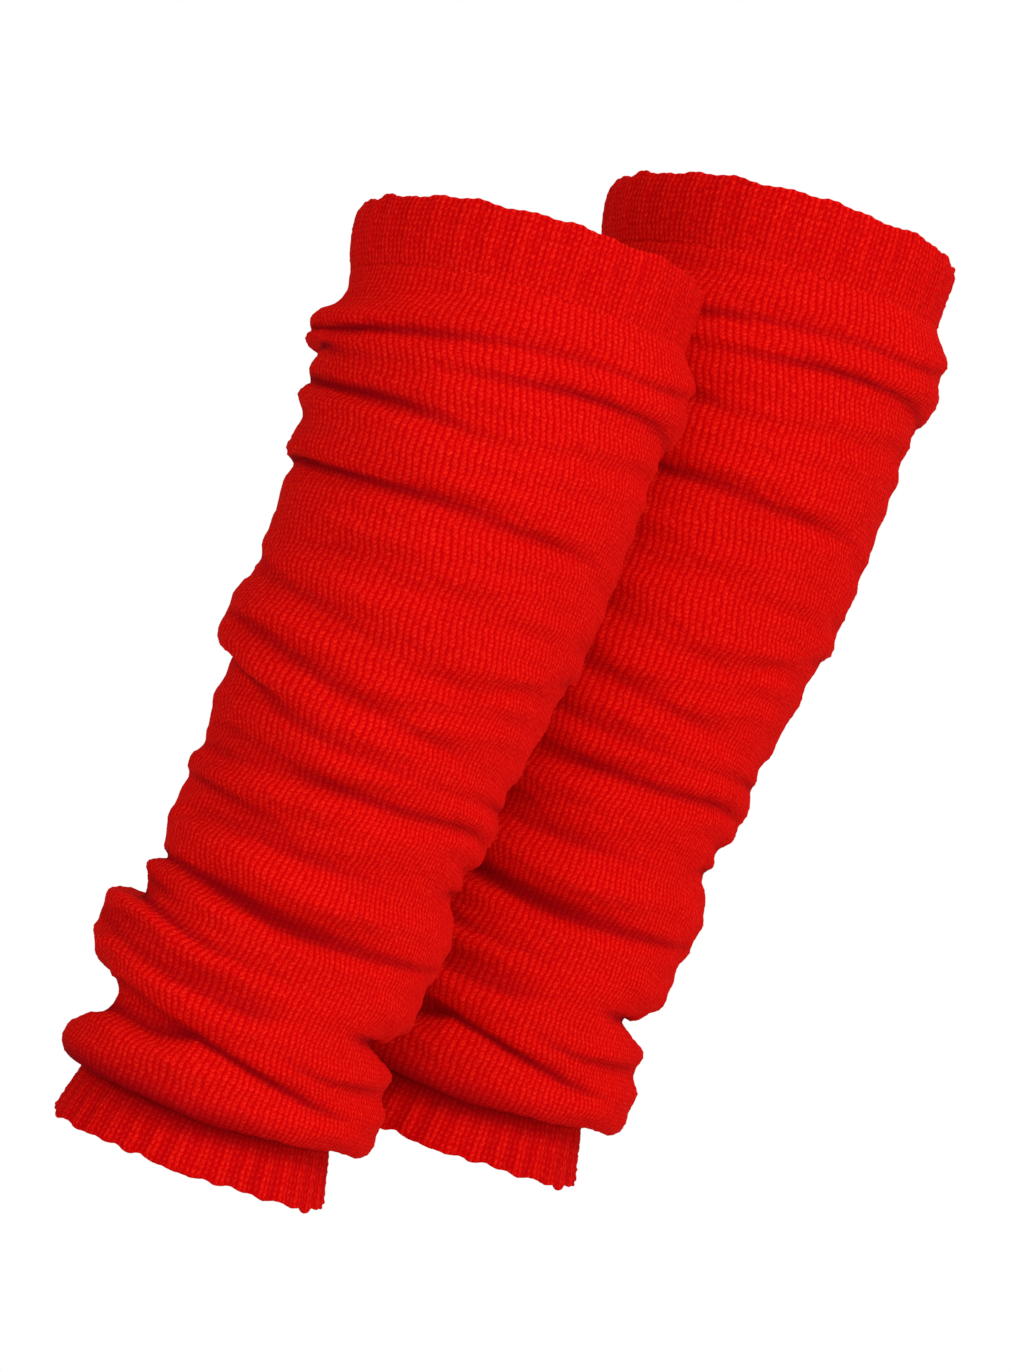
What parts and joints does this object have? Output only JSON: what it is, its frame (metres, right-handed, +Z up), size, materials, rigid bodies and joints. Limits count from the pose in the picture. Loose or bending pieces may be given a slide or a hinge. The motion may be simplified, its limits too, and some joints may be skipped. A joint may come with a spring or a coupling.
{
  "type": "pair of leg warmers",
  "caption": "Pair of red knitted leg warmers, worn slouched: hollow tubes of plain knit lying in rolls and creases, with ribbed cuffs at top and ankle.",
  "frame": {"origin": "midway between the middles of the two top hems, where the wearer's legs hold the pair up", "axes": "+Z up as in the picture, -Y towards the viewer, +X to the viewer's right; both leg warmers lean 20.3 degrees, their tops to +X"},
  "size_m": [0.3516, 0.2609, 0.4034],
  "materials": {
    "plain_knit": "plain knit of brushed acrylic yarn, matt with a soft nap",
    "ribbed_knit": "fine rib of the same brushed yarn, matt with a soft nap"
  },
  "bodies": {
    "root": {"front_top_cuff": "ribbed_knit", "front_leg": "plain_knit", "front_ankle_cuff": "ribbed_knit", "rear_top_cuff": "ribbed_knit", "rear_leg": "plain_knit", "rear_ankle_cuff": "ribbed_knit"}
  },
  "joints": []
}
